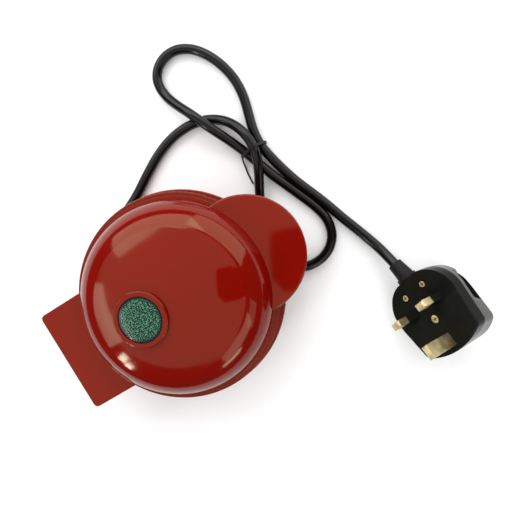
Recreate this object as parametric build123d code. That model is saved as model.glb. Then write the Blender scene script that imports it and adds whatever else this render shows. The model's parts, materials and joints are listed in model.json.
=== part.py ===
from build123d import *
import math
import os

# Millimetres, +Z up. The cooking plates' axis is X = Y = 0, the handles point to -Y,
# the hinge is at +Y and the feet stand on Z = 0.

# Overall sizes
RIM_R = 64.0  # base rim, from which shells, rings, plates and pans take their radii
HANDLE_REACH = 20.0  # tip of the handle beyond the rim
BLOCK_REACH = 20.0  # back of the hinge block beyond the rim
MID_Z = 31.6  # the plane midway between base and lid
RIM_GAP = 1.2  # open gap between the two rims when shut
APEX_Z = 69.0  # top of the dome
FOOT_H = 3.0  # height of the rubber feet below the base
WALL = 2.2  # wall of the moulded shells
SLIP = 0.3  # clearance between a piece and the seat it drops into

# Base shell
RIM_BAND_H = 5.4  # height of the upright band at the rim
BAND_STEP = 1.2  # how far the band stands proud of the bowl
BOWL_FOOT_IN = 17.5  # foot of the bowl inside the rim
BOWL_ARC_R = 23.5
LEDGE_W = 8.2  # moulded ledge inside each shell that carries the plate
LEDGE_T = 2.0
LEDGE_DROP = 5.6  # ledge face below the plane midway

# Lid shell
LID_SETBACK = 1.6  # lid's rim inside the base rim
SKIRT_TOP_Z = 40.5  # flat ledge round the lid's rim
STEP_IN = 2.4  # raised step inside the edge of that ledge
STEP_H = 1.1
SHOULDER_IN = 2.0  # foot of the dome inside the step
SHOULDER_ARC_R = 22.0

# Handles
HANDLE_R = 35.0
HANDLE_TOP_Z = 46.5
HANDLE_T = 8.0
LOWER_HANDLE_R = 34.0
LOWER_HANDLE_TOP_Z = 29.0
LOWER_HANDLE_T = 8.0
LOWER_HANDLE_IN = 1.0  # its tip inside the upper handle's
HANDLE_WALL = 2.4
HANDLE_RIBS = 4
RIB_T = 1.6

# Hinge block and hinge
BLOCK_W = 66.6
BLOCK_FRONT_Y = 30.0  # where the block starts, inside the round shells
BLOCK_TOP_Z = 39.5
BLOCK_CORNER_R = 3.0
HINGE_BACK = 6.0  # hinge axis in front of the lid block's back face
EAR_R = 3.4
EAR_T = 5.0
LUG_T = 4.6
EAR_X = 12.0  # inner face of the first of the base's two ears on each side
LUG_GAP = 0.6  # side gap of the lid's lug between its two ears
PIN_D = 3.0
PIN_CLEAR = 0.05  # radial running clearance in the lid's lugs
PIN_FIT = 0.01  # radial fit in the base's ears
BLOCK_SETBACK = 4.2  # base block's back face in front of the hinge axis
STOP_BACK = 0.75  # stop gusset's face in front of the hinge axis
LID_OPEN_DEG = 100.0

# Cooking plates
PLATE_IN = 6.4  # plate's edge inside the base rim's inner wall
DISH_LIP = 3.8  # flat rim of the plate round its dish
DISH_SLANT = 1.8  # how far the dish's wall leans in
PLATE_STEP = 2.5  # underside step that centres the plate in the ledge
PLATE_CHAMFER = 1.5
DISH_DEPTH = 8.25  # dish floor below the plane midway
PLATE_T = 2.5
PLATE_GAP = 0.8  # gap between the two plates' rims when shut
PAD_PITCH = 17.0
PAD_SIZE = 12.2
PAD_H = 5.5
PAD_TAPER_DEG = 10.0
PAD_CORNER_R = 1.6
PAD_SINK = 0.4  # how far each pad reaches into the dish's floor
RING_T = 0.7  # top of the insulating ring below the plane midway

# Heating parts under each plate
ELEMENT_IN = 18.8  # element's centre line inside the dish's floor
ELEMENT_D = 6.6
ELEMENT_DEG = 300.0
ELEMENT_RIB_H = 2.85
ELEMENT_RIB_W = 10.0
ELEMENT_DROP = 13.6
ELEMENT_TAIL = 8.0
SPADE_L = 3.5
SPADE_W = 4.0
SPADE_T = 0.8
PAN_DROP = 18.2  # floor of the reflector pan below the plane midway
PAN_T = 0.8
PAN_MOUTH = 0.6  # pan's mouth outside the ledge's inner edge
PAN_SLANT = 2.6  # how far the pan's wall leans in
PAN_FLANGE = 1.2
PAN_HOLE_R = 10.5
LID_PAN_HOLE_R = 4.0
BOSS_IN = 6.8  # screw bosses inside the dish's floor
BOSS_D = 7.0
SCREW_D = 3.0
SCREW_HEAD_D = 5.8
SCREW_HEAD_H = 2.2
THERMOSTAT_D = 16.0
THERMOSTAT_H = 9.0
THERMOSTAT_FLANGE = (24.0, 7.0, 1.0)
TAB = (6.3, 0.8, 5.0)  # spade tabs of the thermostat
TAB_PITCH = 10.0
FUSE_CAN_D = 4.6
FUSE_CAN_L = 16.0
FUSE_WIRE_D = 1.2
FUSE_WIRE_L = 26.0
FUSE_X = -20.0
FUSE_DROP = 2.4  # cut-out's axis below the lower pan
CLIP_T = 0.65
CLIP_FOOT = (14.0, 6.0, 0.7)

# Bottom cover and feet
COVER_T = 2.2
COVER_IN = 4.0  # bottom cover's edge inside the foot of the bowl
COVER_TAIL_W = 50.0
COVER_TAIL_IN = 6.3  # end of its tail inside the block's back face
COVER_LIP_T = 1.8  # lip inside the base that the cover closes against
COVER_LIP_W = 3.0
COVER_SCREW_IN = 4.5  # cover's screws inside its edge
COVER_SCREW_Y_SIDE = 8.0
COVER_SCREW_SINK = 1.2  # depth of the screws' heads in the cover
COVER_SCREW_L = 5.0
COVER_BOSS_R = 3.2
COVER_BOSS_H = 4.6
FOOT_D = 11.0
FOOT_HEAD_R = 3.4
FOOT_STEM_D = 4.8
FOOT_HEAD_H = 1.4
FRONT_FOOT_IN = (20.5, 15.5)  # front feet inside the cover's edge, across and along
REAR_FOOT_IN = (7.0, 8.5)  # rear feet inside the tail's edge, across and along
VENT_W = 2.4
VENT_L = 22.0
VENTS = 5

# Indicator window in the lid
LENS_D = 25.0
LENS_Y = 15.0
LENS_RISE = 2.6
LENS_EDGE_H = 1.3
LENS_SEAT = 0.6  # depth of the lens's seat below the dome
LENS_LEG_R = 10.8
LENS_LEG_H = 4.4
SEAL_T = 0.75
LENS_BOSS_D = 32.5
LENS_BOSS_H = 1.5
LAMP_D = 6.0
LAMP_Y = 14.5

# Wiring
LEAD_D = 3.6  # sleeved lead from base to lid, which twists on the hinge axis
LEAD_X = 8.0
LEAD_BEND_R = 3.4
LEAD_WELL = 9.0  # upright run of that lead in front of the hinge axis
LID_LEAD_Z = 35.2
TERMINAL = (15.0, 6.4, 10.0)
TERMINAL_X = -12.5
TERMINAL_BACK = 0.3  # gap behind the terminal block
CORE_D = 2.2
CORE_STEP = 2.3

# Mains cord and its route: hand-chosen points, in order from the strain relief to the plug
CORD_D = 6.3
RELIEF_D = 10.5
RELIEF_TIP_D = 8.8
RELIEF_L = 24.0
RELIEF_IN = 7.0  # length of the strain relief inside the wall
RELIEF_GROOVES = 5
CORD_ROUTE = [
    (46.5, 45.0, 12.8), (54.8, 37.6, 12.8), (60.9, 26.8, 8.6), (65.1, 14.3, 4.4),
    (71.2, 0.6, 3.3), (79.0, -12.6, 3.3), (85.5, -24.9, 3.3), (89.7, -36.4, 3.3),
    (91.3, -48.2, 3.3), (90.2, -59.8, 3.3), (86.0, -69.7, 3.4), (78.9, -77.2, 6.0),
    (69.4, -81.8, 9.6), (59.8, -83.4, 11.4), (49.6, -82.2, 11.4), (40.1, -77.4, 8.8),
    (30.2, -71.2, 5.0), (18.7, -65.0, 3.3), (6.8, -59.3, 3.3), (-4.9, -55.7, 3.3),
    (-16.4, -58.5, 3.3), (-24.9, -66.3, 3.3), (-28.3, -77.5, 3.3), (-26.0, -88.9, 3.3),
    (-18.1, -97.1, 3.3), (-7.0, -99.5, 3.3), (4.1, -96.7, 3.3), (15.2, -92.1, 3.3),
    (25.7, -87.7, 3.4), (36.3, -83.3, 4.0), (47.0, -79.9, 4.7), (57.1, -76.4, 4.7),
    (67.0, -72.3, 5.4), (75.7, -68.1, 8.6), (84.7, -63.9, 10.4), (94.4, -59.9, 10.2),
    (104.5, -54.9, 6.8), (114.4, -51.1, 3.8), (124.6, -50.5, 3.3), (132.5, -55.2, 3.3),
    (136.6, -63.7, 3.3), (135.8, -73.3, 3.3), (130.2, -81.8, 3.3), (121.5, -88.2, 3.3),
    (110.8, -92.6, 3.3), (99.1, -94.8, 3.3), (87.3, -94.0, 3.3), (76.2, -90.9, 3.7),
    (65.7, -87.9, 4.6), (54.9, -86.9, 4.7), (43.6, -89.1, 4.3), (32.4, -91.9, 3.3),
    (21.1, -95.6, 3.3), (9.6, -100.4, 3.3), (-1.2, -104.4, 3.3), (-12.0, -107.8, 3.3),
    (-22.6, -111.8, 3.3), (-33.0, -115.4, 4.2),
]
CORD_END_RUN = 11.0  # last straight run, in line with the plug's sleeve
TIE_X = 54.9
TIE_T = 0.9
TIE_W = 1.6
TIE_CLEAR = 0.4
TIE_STRANDS = [(-77.1, 4.7), (-87.2, 4.7), (-82.9, 11.4)]
TIE_TAIL_D = 1.0
TIE_TAIL = [(54.9, -73.1, 4.7), (52.1, -72.0, 1.6), (44.6, -70.5, 0.7), (37.1, -70.0, 0.7)]

# Plug: face across X (line to neutral), Y towards the earth pin, Z along the pins
PLUG_AT = (-80.1, -121.0, 30.1)
PLUG_HEADING_DEG = 185.8
PLUG_PITCH_DEG = 22.0
PLUG_ROLL_DEG = 40.0
PIN_PITCH = 22.23
LIVE_PIN = (6.35, 3.97, 17.7)
EARTH_PIN = (3.97, 7.92, 22.7)
FACE_HALF_W = 24.4
FACE_CORNER = (21.4, 24.0)  # corner of the face at the earth end
FACE_EARTH_Y = 29.4
FACE_BULGE = (17.4, -15.6)  # a point of the rounded cord end
FACE_CORD_Y = -19.8
FACE_FLAT_W = 14.0  # flat at the cord end, where the sleeve comes out
FACE_STEP_Y = 2.9
FACE_STEP = 0.8
PIN_SEAT = 0.02  # gap round each pin in the plug's face
PIN_HEAD = 8.4  # square head behind each pin, which holds its core
PIN_CHAMFER = 1.0
PLUG_BASE_T = 8.0
PLUG_DEEP = 32.0  # depth at which the cover's side walls would end
PLUG_NARROW = 0.62  # width of the cover at that depth, as a share of the face's
PLUG_BACK_R = 3.0
SCOOP_R = 40.0  # finger and thumb hollows in the cover's flanks
SCOOP_DEPTH = 2.8
SCOOP_L = 11.0
SCOOP_Y = 2.0
PLUG_DEPTH_CORD = 21.5
PLUG_DEPTH_EARTH = 29.0
PLUG_WALL = 2.2
GRIP_SCREW = (7.9, -11.5)
GRIP_T = 2.4
PLUG_BOSS_DEPTH = 6.0  # depth of the screw bosses behind the plug's face
PLUG_BOSS_R = 3.4
PLUG_SCREW_D = 2.8
PLUG_SCREW_BORE = 2.9
COVER_SCREW_Y = 8.3
SLEEVE_X = 1.9
SLEEVE_Z = -6.5  # axis of the cord's sleeve below the plug's face
SLEEVE_D = 10.4
SLEEVE_TIP_D = 8.8
SLEEVE_COLLAR_D = 12.6
SLEEVE_COLLAR_T = 2.0
SLEEVE_BEND = (SLEEVE_X, -23.6, SLEEVE_Z)
SLEEVE_TIP = (2.8, -32.4, SLEEVE_Z)
FUSE_D = 6.3
FUSE_L = 25.4
FUSE_CAP_L = 5.5

# Worked-out places
FRONT_REACH = RIM_R + HANDLE_REACH
REAR_REACH = RIM_R + BLOCK_REACH
RIM_Z = MID_Z - RIM_GAP / 2
SKIRT_Z = MID_Z + RIM_GAP / 2
BAND_Z = RIM_Z - RIM_BAND_H
BOWL_R = RIM_R - BAND_STEP
BOWL_FOOT_R = RIM_R - BOWL_FOOT_IN
LID_R = RIM_R - LID_SETBACK
STEP_R = LID_R - STEP_IN
SHOULDER_FOOT_R = STEP_R - SHOULDER_IN
LEDGE_Z = MID_Z - LEDGE_DROP
HINGE_Y = REAR_REACH - HINGE_BACK
BLOCK_BACK_Y = HINGE_Y - BLOCK_SETBACK
DISH_FLOOR_Z = MID_Z - DISH_DEPTH
PLATE_UNDER_Z = DISH_FLOOR_Z - PLATE_T
PAN_FLOOR_Z = MID_Z - PAN_DROP
SKIRT_IN_R = LID_R - WALL
RIM_IN_R = RIM_R - WALL
LEDGE_IN_R = RIM_IN_R - LEDGE_W
PLATE_R = RIM_IN_R - PLATE_IN
DISH_RIM_R = PLATE_R - DISH_LIP
DISH_R = DISH_RIM_R - DISH_SLANT
ELEMENT_R = DISH_R - ELEMENT_IN
BOSS_R = DISH_R - BOSS_IN
PAN_TOP_R = LEDGE_IN_R + PAN_MOUTH
PAN_FLOOR_R = PAN_TOP_R - PAN_SLANT
PAN_FLANGE_R = PAN_TOP_R + PAN_FLANGE
DOME_TIE = SHOULDER_FOOT_R - SHOULDER_ARC_R
SHOULDER_Z = SKIRT_TOP_Z + STEP_H
LUG_X = EAR_X + EAR_T + LUG_GAP
OUTER_EAR_X = LUG_X + LUG_T + LUG_GAP
PIN_L = OUTER_EAR_X + EAR_T - EAR_X
COVER_TOP_Z = FOOT_H + COVER_T
LIP_TOP_Z = COVER_TOP_Z + COVER_LIP_T
PAN_UNDER_Z = PAN_FLOOR_Z - PAN_T
COVER_R = BOWL_FOOT_R - COVER_IN
COVER_TAIL_Y = BLOCK_BACK_Y - COVER_TAIL_IN
LEAD_WELL_Y = HINGE_Y - LEAD_WELL
TERMINAL_Y = BLOCK_BACK_Y - WALL - TERMINAL_BACK - TERMINAL[1] / 2


def half_section(points_or_edges):
    """A profile drawn as (radius, height), placed in the XZ plane."""
    return Plane.XZ * make_face(points_or_edges)


def turned(points):
    """A solid of revolution about Z from straight (radius, height) points."""
    return revolve(half_section(Polyline(*points, close=True)), Axis.Z)


def dome_radius(drop):
    """Radius of the dome's large arc that meets the shoulder arc smoothly."""
    rise = APEX_Z - drop - SHOULDER_Z
    shoulder = SHOULDER_ARC_R - drop
    return (DOME_TIE**2 + rise**2 - shoulder**2) / (2 * (rise - shoulder))


def dome_z(radius):
    """Height of the dome's outer face at a radius inside the large arc."""
    big = dome_radius(0.0)
    return APEX_Z - big + math.sqrt(big**2 - radius**2)


def dome_edges(drop):
    """Shoulder and dome arcs, moved inwards by drop, from the shoulder's foot to the apex."""
    big = dome_radius(drop)
    shoulder = SHOULDER_ARC_R - drop
    centre_z = APEX_Z - drop - big
    lean = math.atan2(DOME_TIE, SHOULDER_Z - centre_z)
    meet = (big * math.sin(lean), centre_z + big * math.cos(lean))
    half = (math.pi / 2 - lean) / 2
    mid_low = (DOME_TIE + shoulder * math.cos(half), SHOULDER_Z + shoulder * math.sin(half))
    mid_high = (big * math.sin(lean / 2), centre_z + big * math.cos(lean / 2))
    low = ThreePointArc((DOME_TIE + shoulder, SHOULDER_Z), mid_low, meet)
    high = ThreePointArc(meet, mid_high, (0, APEX_Z - drop))
    return [low, high]


def bowl_solid(inset):
    """The base bowl's outer form, or its hollow when inset is the wall."""
    foot = (BOWL_FOOT_R - inset, FOOT_H + inset)
    top = (BOWL_R - inset, BAND_Z)
    arc = RadiusArc(foot, top, -(BOWL_ARC_R - inset))
    floor = Line((0, foot[1]), foot)
    sides = Polyline(top, (top[0] + BAND_STEP, BAND_Z + BAND_STEP),
                     (RIM_R - inset, RIM_Z + inset), (0, RIM_Z + inset), (0, foot[1]))
    return revolve(half_section([floor, arc, sides]), Axis.Z)


def lid_solid(drop):
    """The lid's outer form with its stepped rim, or its hollow when drop is the wall."""
    if drop == 0:
        rim = Polyline((0, SKIRT_Z), (LID_R, SKIRT_Z), (LID_R, SKIRT_TOP_Z),
                       (STEP_R, SKIRT_TOP_Z), (STEP_R, SHOULDER_Z),
                       (SHOULDER_FOOT_R, SHOULDER_Z))
    else:
        inner = SHOULDER_FOOT_R - drop
        rim = Polyline((0, SKIRT_Z - drop), (SKIRT_IN_R, SKIRT_Z - drop),
                       (SKIRT_IN_R, SKIRT_TOP_Z - drop), (inner, SKIRT_TOP_Z - drop),
                       (inner, SHOULDER_Z))
    close = Line((0, APEX_Z - drop), (0, rim.position_at(0).Y))
    return revolve(half_section([rim] + dome_edges(drop) + [close]), Axis.Z)


def crescent(radius, reach, top, thick):
    """A cap-brim handle, hollow from below and ribbed, before the round body is cut away."""
    centre = Pos(0, radius - reach, top - thick)
    brim = centre * extrude(Circle(radius), thick)
    brim = fillet(brim.edges().group_by(Axis.Z)[-1], 1.2)
    hollow = centre * extrude(Circle(radius - HANDLE_WALL), thick - HANDLE_WALL)
    brim -= hollow
    for i in range(HANDLE_RIBS):
        x = (i - (HANDLE_RIBS - 1) / 2) * 2 * radius / (HANDLE_RIBS + 1)
        rib = centre * Pos(x, 0, 0) * Box(RIB_T, 2 * radius, thick - 1,
                                          align=(Align.CENTER, Align.CENTER, Align.MIN))
        brim += rib & (centre * extrude(Circle(radius - HANDLE_WALL / 2), thick - 1))
    return brim


def block_solid(width, back, low, high, front, corner):
    """A rectangular block reaching back from the bowl, with rounded upright corners."""
    block = Pos(0, (front + back) / 2, low) * extrude(Rectangle(width, back - front), high - low)
    upright = block.edges().filter_by(Axis.Z).sort_by(Axis.Y)[-2:]
    return fillet(upright, corner)


def across(x, radius, length, y=HINGE_Y, z=MID_Z):
    """A cylinder along X that starts at x."""
    return Pos(x, y, z) * Rot(0, 90, 0) * Cylinder(
        radius, length, align=(Align.CENTER, Align.CENTER, Align.MIN))


def side_plate(points, x, thick):
    """A plate of (y, z) points, thick along X from x."""
    profile = Plane.YZ * make_face(Polyline(*points, close=True))
    return Pos(x, 0, 0) * extrude(profile, thick)


def hinge_ear(x):
    """One of the base's ears, with its web to the block and its stop gusset below."""
    z = MID_Z
    web = [(HINGE_Y - 9, RIM_Z - 4), (HINGE_Y - 9, RIM_Z), (HINGE_Y - 2, z + 3.0),
           (HINGE_Y, z), (HINGE_Y - STOP_BACK, z - 3.4), (HINGE_Y - STOP_BACK, z - 8.5),
           (BLOCK_BACK_Y - 0.5, z - 12)]
    return side_plate(web, x, EAR_T) + across(x, EAR_R, EAR_T)


def hinge_lug(x):
    """One of the lid's lugs, hanging from the roof and rear wall of its hinge block."""
    back = REAR_REACH - WALL / 2
    web = [(HINGE_Y - EAR_R, MID_Z), (HINGE_Y + EAR_R, MID_Z), (back, SKIRT_Z + 1),
           (back, BLOCK_TOP_Z - 1), (HINGE_Y - EAR_R, BLOCK_TOP_Z - 1)]
    return side_plate(web, x, LUG_T) + across(x, EAR_R, LUG_T)


def both_sides(starts, thick):
    """The low X faces of plates at these starts and of their mirror images."""
    return list(starts) + [-s - thick for s in starts]


def relief_axis():
    """The strain relief's mouth and the way that it points."""
    mouth = Vector(*CORD_ROUTE[0])
    way = (Vector(*CORD_ROUTE[1]) - mouth).normalized()
    return mouth, way


def along(point, way, radius, length):
    """A cylinder that starts at a point and runs along a direction."""
    plane = Plane(origin=point, z_dir=way)
    return plane * extrude(Circle(radius), length)


def tapered(point, way, radius, end_radius, length):
    """A cone that starts at a point and runs along a direction."""
    plane = Plane(origin=point, z_dir=way)
    return plane * Cone(radius, end_radius, length, align=(Align.CENTER, Align.CENTER, Align.MIN))


def tube(points, radii, diameter):
    """A round tube of straight runs and tangent arcs."""
    path = FilletPolyline(*points, radius=radii)
    section = Plane(origin=path @ 0, z_dir=path % 0) * Circle(diameter / 2)
    return sweep(section, path=path)


def round_edges(solid, radius, height, size):
    """The circular edges of one radius at one height, rounded."""
    edges = [e for e in solid.edges().filter_by(GeomType.CIRCLE)
             if abs(e.center().Z - height) < 0.01 and abs(e.radius - radius) < 0.01]
    return fillet(edges, size)


def bottom_outline(inset):
    """Keyhole outline of the bottom cover: a disc with a tail under the hinge block."""
    tail = Pos(0, COVER_TAIL_Y / 2) * Rectangle(COVER_TAIL_W - 2 * inset, COVER_TAIL_Y - 2 * inset)
    return Circle(COVER_R - inset) + tail


def base_shell():
    body = round_edges(bowl_solid(0), RIM_R, RIM_Z, 0.8)
    body += block_solid(BLOCK_W, BLOCK_BACK_Y, FOOT_H, RIM_Z, BLOCK_FRONT_Y, BLOCK_CORNER_R)
    handle = crescent(LOWER_HANDLE_R, FRONT_REACH - LOWER_HANDLE_IN, LOWER_HANDLE_TOP_Z,
                      LOWER_HANDLE_T)
    body += handle - bowl_solid(WALL / 2)
    body -= bowl_solid(WALL)
    inner = block_solid(BLOCK_W - 2 * WALL, BLOCK_BACK_Y - WALL, FOOT_H + WALL, RIM_Z - WALL,
                        BLOCK_FRONT_Y, BLOCK_CORNER_R - 1)
    body -= inner - bowl_solid(0)
    body -= wire_passage()
    body += turned([(LEDGE_IN_R, LEDGE_Z - LEDGE_T), (BOWL_R - WALL / 2, LEDGE_Z - LEDGE_T),
                    (BOWL_R - WALL / 2, LEDGE_Z), (LEDGE_IN_R, LEDGE_Z)])
    body += Pos(0, 0, FOOT_H) * extrude(bottom_outline(-WALL), LIP_TOP_Z - FOOT_H)
    body -= Pos(0, 0, FOOT_H) * extrude(bottom_outline(-SLIP), COVER_T)
    body -= Pos(0, 0, FOOT_H) * extrude(bottom_outline(COVER_LIP_W), LIP_TOP_Z - FOOT_H)
    for x, y in cover_screw_places():
        body += Pos(x, y, COVER_TOP_Z) * extrude(Circle(COVER_BOSS_R), COVER_BOSS_H)
        body -= Pos(x, y, COVER_TOP_Z) * extrude(Circle(SCREW_D / 2 + PIN_FIT), COVER_BOSS_H)
    for start in both_sides((EAR_X, OUTER_EAR_X), EAR_T):
        body += hinge_ear(start)
    for start in both_sides((EAR_X,), PIN_L):
        body -= across(start - 1, PIN_D / 2 + PIN_FIT, PIN_L + 2)
    mouth, way = relief_axis()
    body -= along(mouth - way * RELIEF_L, way, RELIEF_D / 2 + PIN_CLEAR, 2 * RELIEF_IN)
    body -= Pos(-LEAD_X, LEAD_WELL_Y, RIM_Z - 2 * WALL) * extrude(
        Circle(LEAD_D / 2 + SLIP), 4 * WALL)
    return body


def wire_passage():
    """Opening through the bowl's wall into the hinge block, for the wires."""
    low = LIP_TOP_Z + 1
    high = LEDGE_Z - LEDGE_T - 2
    length = LEAD_WELL_Y - COVER_R
    return Pos(0, LEAD_WELL_Y - length / 2, (low + high) / 2) * Box(
        COVER_TAIL_W - 6, length, high - low)


def waffle_pads():
    """The square pads of the waffle grid, clipped to the dish."""
    count = int(DISH_R // PAD_PITCH)
    top = PAD_SIZE - 2 * PAD_H * math.tan(math.radians(PAD_TAPER_DEG))
    low = RectangleRounded(PAD_SIZE, PAD_SIZE, PAD_CORNER_R)
    high = RectangleRounded(top, top, PAD_CORNER_R)
    pad = loft([Pos(0, 0, DISH_FLOOR_Z - PAD_SINK) * low, Pos(0, 0, DISH_FLOOR_Z + PAD_H) * high])
    steps = [(i + 0.5) * PAD_PITCH for i in range(-count - 1, count + 1)]
    pads = [Pos(x, y, 0) * pad for x in steps for y in steps if math.hypot(x, y) < DISH_R - 2]
    dish = Pos(0, 0, DISH_FLOOR_Z - 1) * extrude(Circle(DISH_R - PAD_SINK), PAD_H + 2)
    return [p & dish for p in pads]


def boss_places(radius):
    return [Pos(radius * math.cos(math.radians(a)), radius * math.sin(math.radians(a)), 0)
            for a in (30, 150, 270)]


def waffle_plate():
    """The lower cooking plate; the upper one is its mirror image."""
    rim_z = MID_Z - PLATE_GAP / 2
    step = PLATE_R - PLATE_STEP
    dish = turned([(0, PLATE_UNDER_Z), (step - PLATE_CHAMFER, PLATE_UNDER_Z), (step, LEDGE_Z),
                   (PLATE_R, LEDGE_Z), (PLATE_R, rim_z), (DISH_RIM_R, rim_z), (DISH_R, DISH_FLOOR_Z),
                   (0, DISH_FLOOR_Z)])
    dish = round_edges(dish, DISH_RIM_R, rim_z, 0.5)
    rib_low = PLATE_UNDER_Z - ELEMENT_RIB_H
    inner, outer = ELEMENT_R - ELEMENT_RIB_W / 2, ELEMENT_R + ELEMENT_RIB_W / 2
    dish += turned([(inner, rib_low), (outer, rib_low), (outer, PLATE_UNDER_Z),
                    (inner, PLATE_UNDER_Z)])
    for place in boss_places(BOSS_R):
        boss_h = PLATE_UNDER_Z - PAN_FLOOR_Z
        dish += place * Pos(0, 0, PAN_FLOOR_Z) * extrude(Circle(BOSS_D / 2), boss_h)
        dish -= place * Pos(0, 0, PAN_FLOOR_Z) * extrude(Circle(SCREW_D / 2 + 0.05), boss_h)
    dish -= Pos(0, 0, MID_Z - ELEMENT_DROP) * Torus(ELEMENT_R, ELEMENT_D / 2 + 0.1)
    return dish + waffle_pads()


def ring(outer):
    """Insulating ring between the hot plate and the shell."""
    top = MID_Z - RING_T
    inner = PLATE_R + SLIP
    body = turned([(inner, LEDGE_Z), (outer - BAND_STEP, LEDGE_Z), (outer, LEDGE_Z + BAND_STEP),
                   (outer, top), (inner, top)])
    return round_edges(body, outer, top, 0.4)


def element():
    """Tubular heating element, an open ring with its two cold ends turned down."""
    z = MID_Z - ELEMENT_DROP
    gap = (360 - ELEMENT_DEG) / 2
    arc = CenterArc((0, 0, z), ELEMENT_R, 90 + gap, ELEMENT_DEG)
    section = Plane(origin=arc @ 0, z_dir=arc % 0) * Circle(ELEMENT_D / 2)
    body = sweep(section, path=arc)
    for end in (arc @ 0, arc @ 1):
        low = z - ELEMENT_TAIL
        body += Pos(end) * Sphere(ELEMENT_D / 2)
        body += Pos(end.X, end.Y, low) * extrude(Circle(ELEMENT_D / 2), ELEMENT_TAIL)
        body += Pos(end.X, end.Y, low - SPADE_L / 2 + 0.5) * Box(SPADE_T, SPADE_W, SPADE_L + 1)
    return body


def reflector(hole_radius):
    """Pressed pan behind the element, its flange under the shell's ledge."""
    top = LEDGE_Z - LEDGE_T
    pan = turned([(hole_radius, PAN_UNDER_Z), (PAN_FLOOR_R, PAN_UNDER_Z),
                  (PAN_TOP_R, top - PAN_T), (PAN_FLANGE_R, top - PAN_T), (PAN_FLANGE_R, top),
                  (PAN_TOP_R - PAN_T, top), (PAN_FLOOR_R - PAN_T, PAN_FLOOR_Z),
                  (hole_radius, PAN_FLOOR_Z)])
    for place in boss_places(BOSS_R):
        pan -= place * Pos(0, 0, PAN_UNDER_Z - 1) * extrude(Circle(SCREW_D / 2 + 0.2), 3)
    gap = math.radians((360 - ELEMENT_DEG) / 2)
    for side in (-1, 1):
        x = ELEMENT_R * math.sin(gap) * side
        y = ELEMENT_R * math.cos(gap)
        pan -= Pos(x, y, PAN_UNDER_Z - 1) * extrude(Circle(ELEMENT_D / 2 + 0.5), 3)
    return pan


def screw(head_z, length):
    """A pan-head screw standing up from its head, with a cross recess."""
    head = Pos(0, 0, head_z - SCREW_HEAD_H) * extrude(Circle(SCREW_HEAD_D / 2), SCREW_HEAD_H)
    head = fillet(head.edges().group_by(Axis.Z)[0], 0.8)
    cross = Box(3.2, 0.8, 2.4) + Box(0.8, 3.2, 2.4)
    head -= Pos(0, 0, head_z - SCREW_HEAD_H) * cross
    return head + Pos(0, 0, head_z) * extrude(Circle(SCREW_D / 2), length)


def plate_screws():
    length = PLATE_UNDER_Z - PAN_FLOOR_Z - 1
    return [place * screw(PAN_UNDER_Z, length) for place in boss_places(BOSS_R)]


def over(solid):
    """The same piece turned over for the lid."""
    return Pos(0, 0, 2 * MID_Z) * Rot(0, 180, 0) * solid


def thermostat():
    """Disc thermostat pressed against the middle of the lower plate, with two spade tabs."""
    low = PLATE_UNDER_Z - THERMOSTAT_H
    body = Pos(0, 0, low) * extrude(Circle(THERMOSTAT_D / 2), THERMOSTAT_H)
    length, width, thick = THERMOSTAT_FLANGE
    body += Pos(0, 0, PLATE_UNDER_Z - thick) * extrude(
        RectangleRounded(length, width, 0.4 * width), thick)
    for side in (-1, 1):
        body += Pos(0, side * TAB_PITCH / 2, low - TAB[2] / 2 + 1) * Box(*TAB)
    return body


def fuse_axis():
    """Plane of the thermal cut-out's axis, under the lower pan."""
    return Pos(FUSE_X, 0, PAN_UNDER_Z - FUSE_DROP) * Rot(90, 0, 0)


def thermal_fuse():
    """Thermal cut-out, a small can with a wire out of each end."""
    can = Cylinder(FUSE_CAN_D / 2, FUSE_CAN_L)
    return fuse_axis() * (can + Cylinder(FUSE_WIRE_D / 2, FUSE_WIRE_L))


def fuse_clip():
    """Bent clip that holds the cut-out against the pan."""
    bore = FUSE_CAN_D / 2 + PIN_CLEAR
    length, width, thick = CLIP_FOOT
    band = fuse_axis() * Cylinder(bore + CLIP_T, width)
    band += Pos(FUSE_X, 0, PAN_UNDER_Z - thick / 2) * Box(length, width, thick)
    band -= Pos(FUSE_X, 0, PAN_UNDER_Z + 1) * Box(length + 2, width + 2, 2)
    return band - fuse_axis() * Cylinder(bore, width + 2)


def terminal_block():
    """Three-way terminal block on the lip behind the bottom cover."""
    length, width, height = TERMINAL
    block = Pos(TERMINAL_X, TERMINAL_Y, LIP_TOP_Z + height / 2) * Box(length, width, height)
    face = Pos(TERMINAL_X, TERMINAL_Y - width / 2, LIP_TOP_Z + 0.7 * height) * Rot(90, 0, 0)
    for i in (-1, 0, 1):
        block -= face * Pos(i * length / 3, 0, 0) * Cylinder(1.5, 4)
    return block


def supply_cores():
    """The cord's three cores, from the strain relief to the terminal block."""
    mouth, way = relief_axis()
    root = mouth - way * RELIEF_L
    end = Vector(TERMINAL_X + TERMINAL[0] / 2, TERMINAL_Y, root.Z)
    cores = []
    for i in (-1, 0, 1):
        lift = Vector(0, 0, i * CORE_STEP)
        points = [root + lift, root - way * 5 + lift, end + Vector(20, 0, 0) + lift, end + lift]
        cores.append(tube(points, [5, 8], CORE_D))
    return cores


def base_lead():
    """Sleeved lead from the terminal block up to the hinge axis."""
    low = LIP_TOP_Z + TERMINAL[2]
    points = [(-LEAD_X, LEAD_WELL_Y, low), (-LEAD_X, LEAD_WELL_Y, MID_Z + LEAD_D),
              (-LEAD_X, HINGE_Y, MID_Z), (0, HINGE_Y, MID_Z)]
    return tube(points, [LEAD_BEND_R, LEAD_BEND_R], LEAD_D)


def lid_lead():
    """The same lead's other half, from the hinge axis into the lid."""
    points = [(0, HINGE_Y, MID_Z), (LEAD_X, HINGE_Y, MID_Z), (LEAD_X, LEAD_WELL_Y, LID_LEAD_Z),
              (LEAD_X, SKIRT_IN_R - 0.2, LID_LEAD_Z)]
    return tube(points, [LEAD_BEND_R, 6], LEAD_D)


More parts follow.
